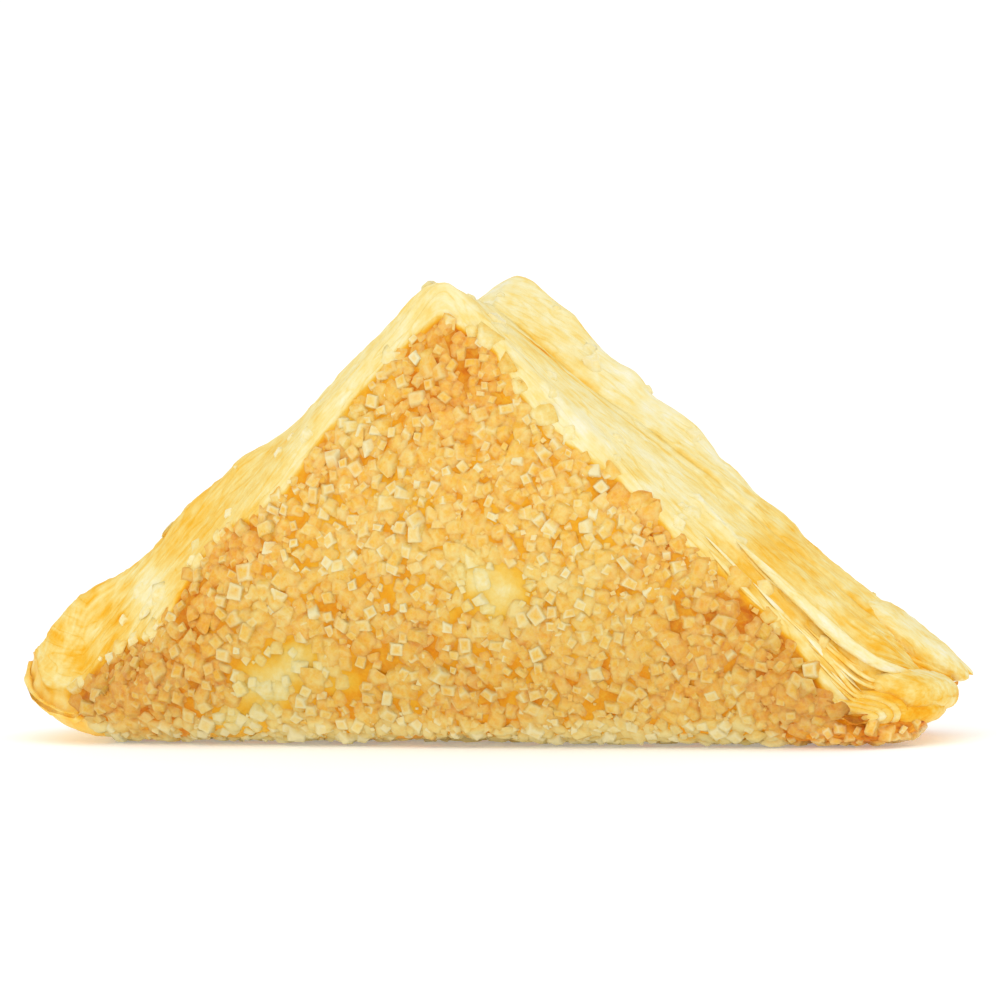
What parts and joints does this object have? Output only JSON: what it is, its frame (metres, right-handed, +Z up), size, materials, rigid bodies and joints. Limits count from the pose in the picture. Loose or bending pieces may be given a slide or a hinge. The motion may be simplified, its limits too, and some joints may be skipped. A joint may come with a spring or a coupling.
{
  "type": "turnover pastry",
  "caption": "Baked puff pastry turnover: a dough square folded on its diagonal into a plump triangle, sugared, standing on its long fold.",
  "frame": {"origin": "under the centre of the bounding box, on the flat of the long fold that the pastry stands on", "axes": "+X along the long fold, towards the right-hand corner of the front leaf; +Y from the front leaf to the rear leaf; +Z up, towards the peak"},
  "size_m": [0.1362, 0.0392, 0.0638],
  "materials": {
    "pastry_crust": "baked golden puff pastry, dry and slightly glossy, topped with coarse sugar"
  },
  "bodies": {
    "root": {"pastry": "pastry_crust"}
  },
  "joints": []
}
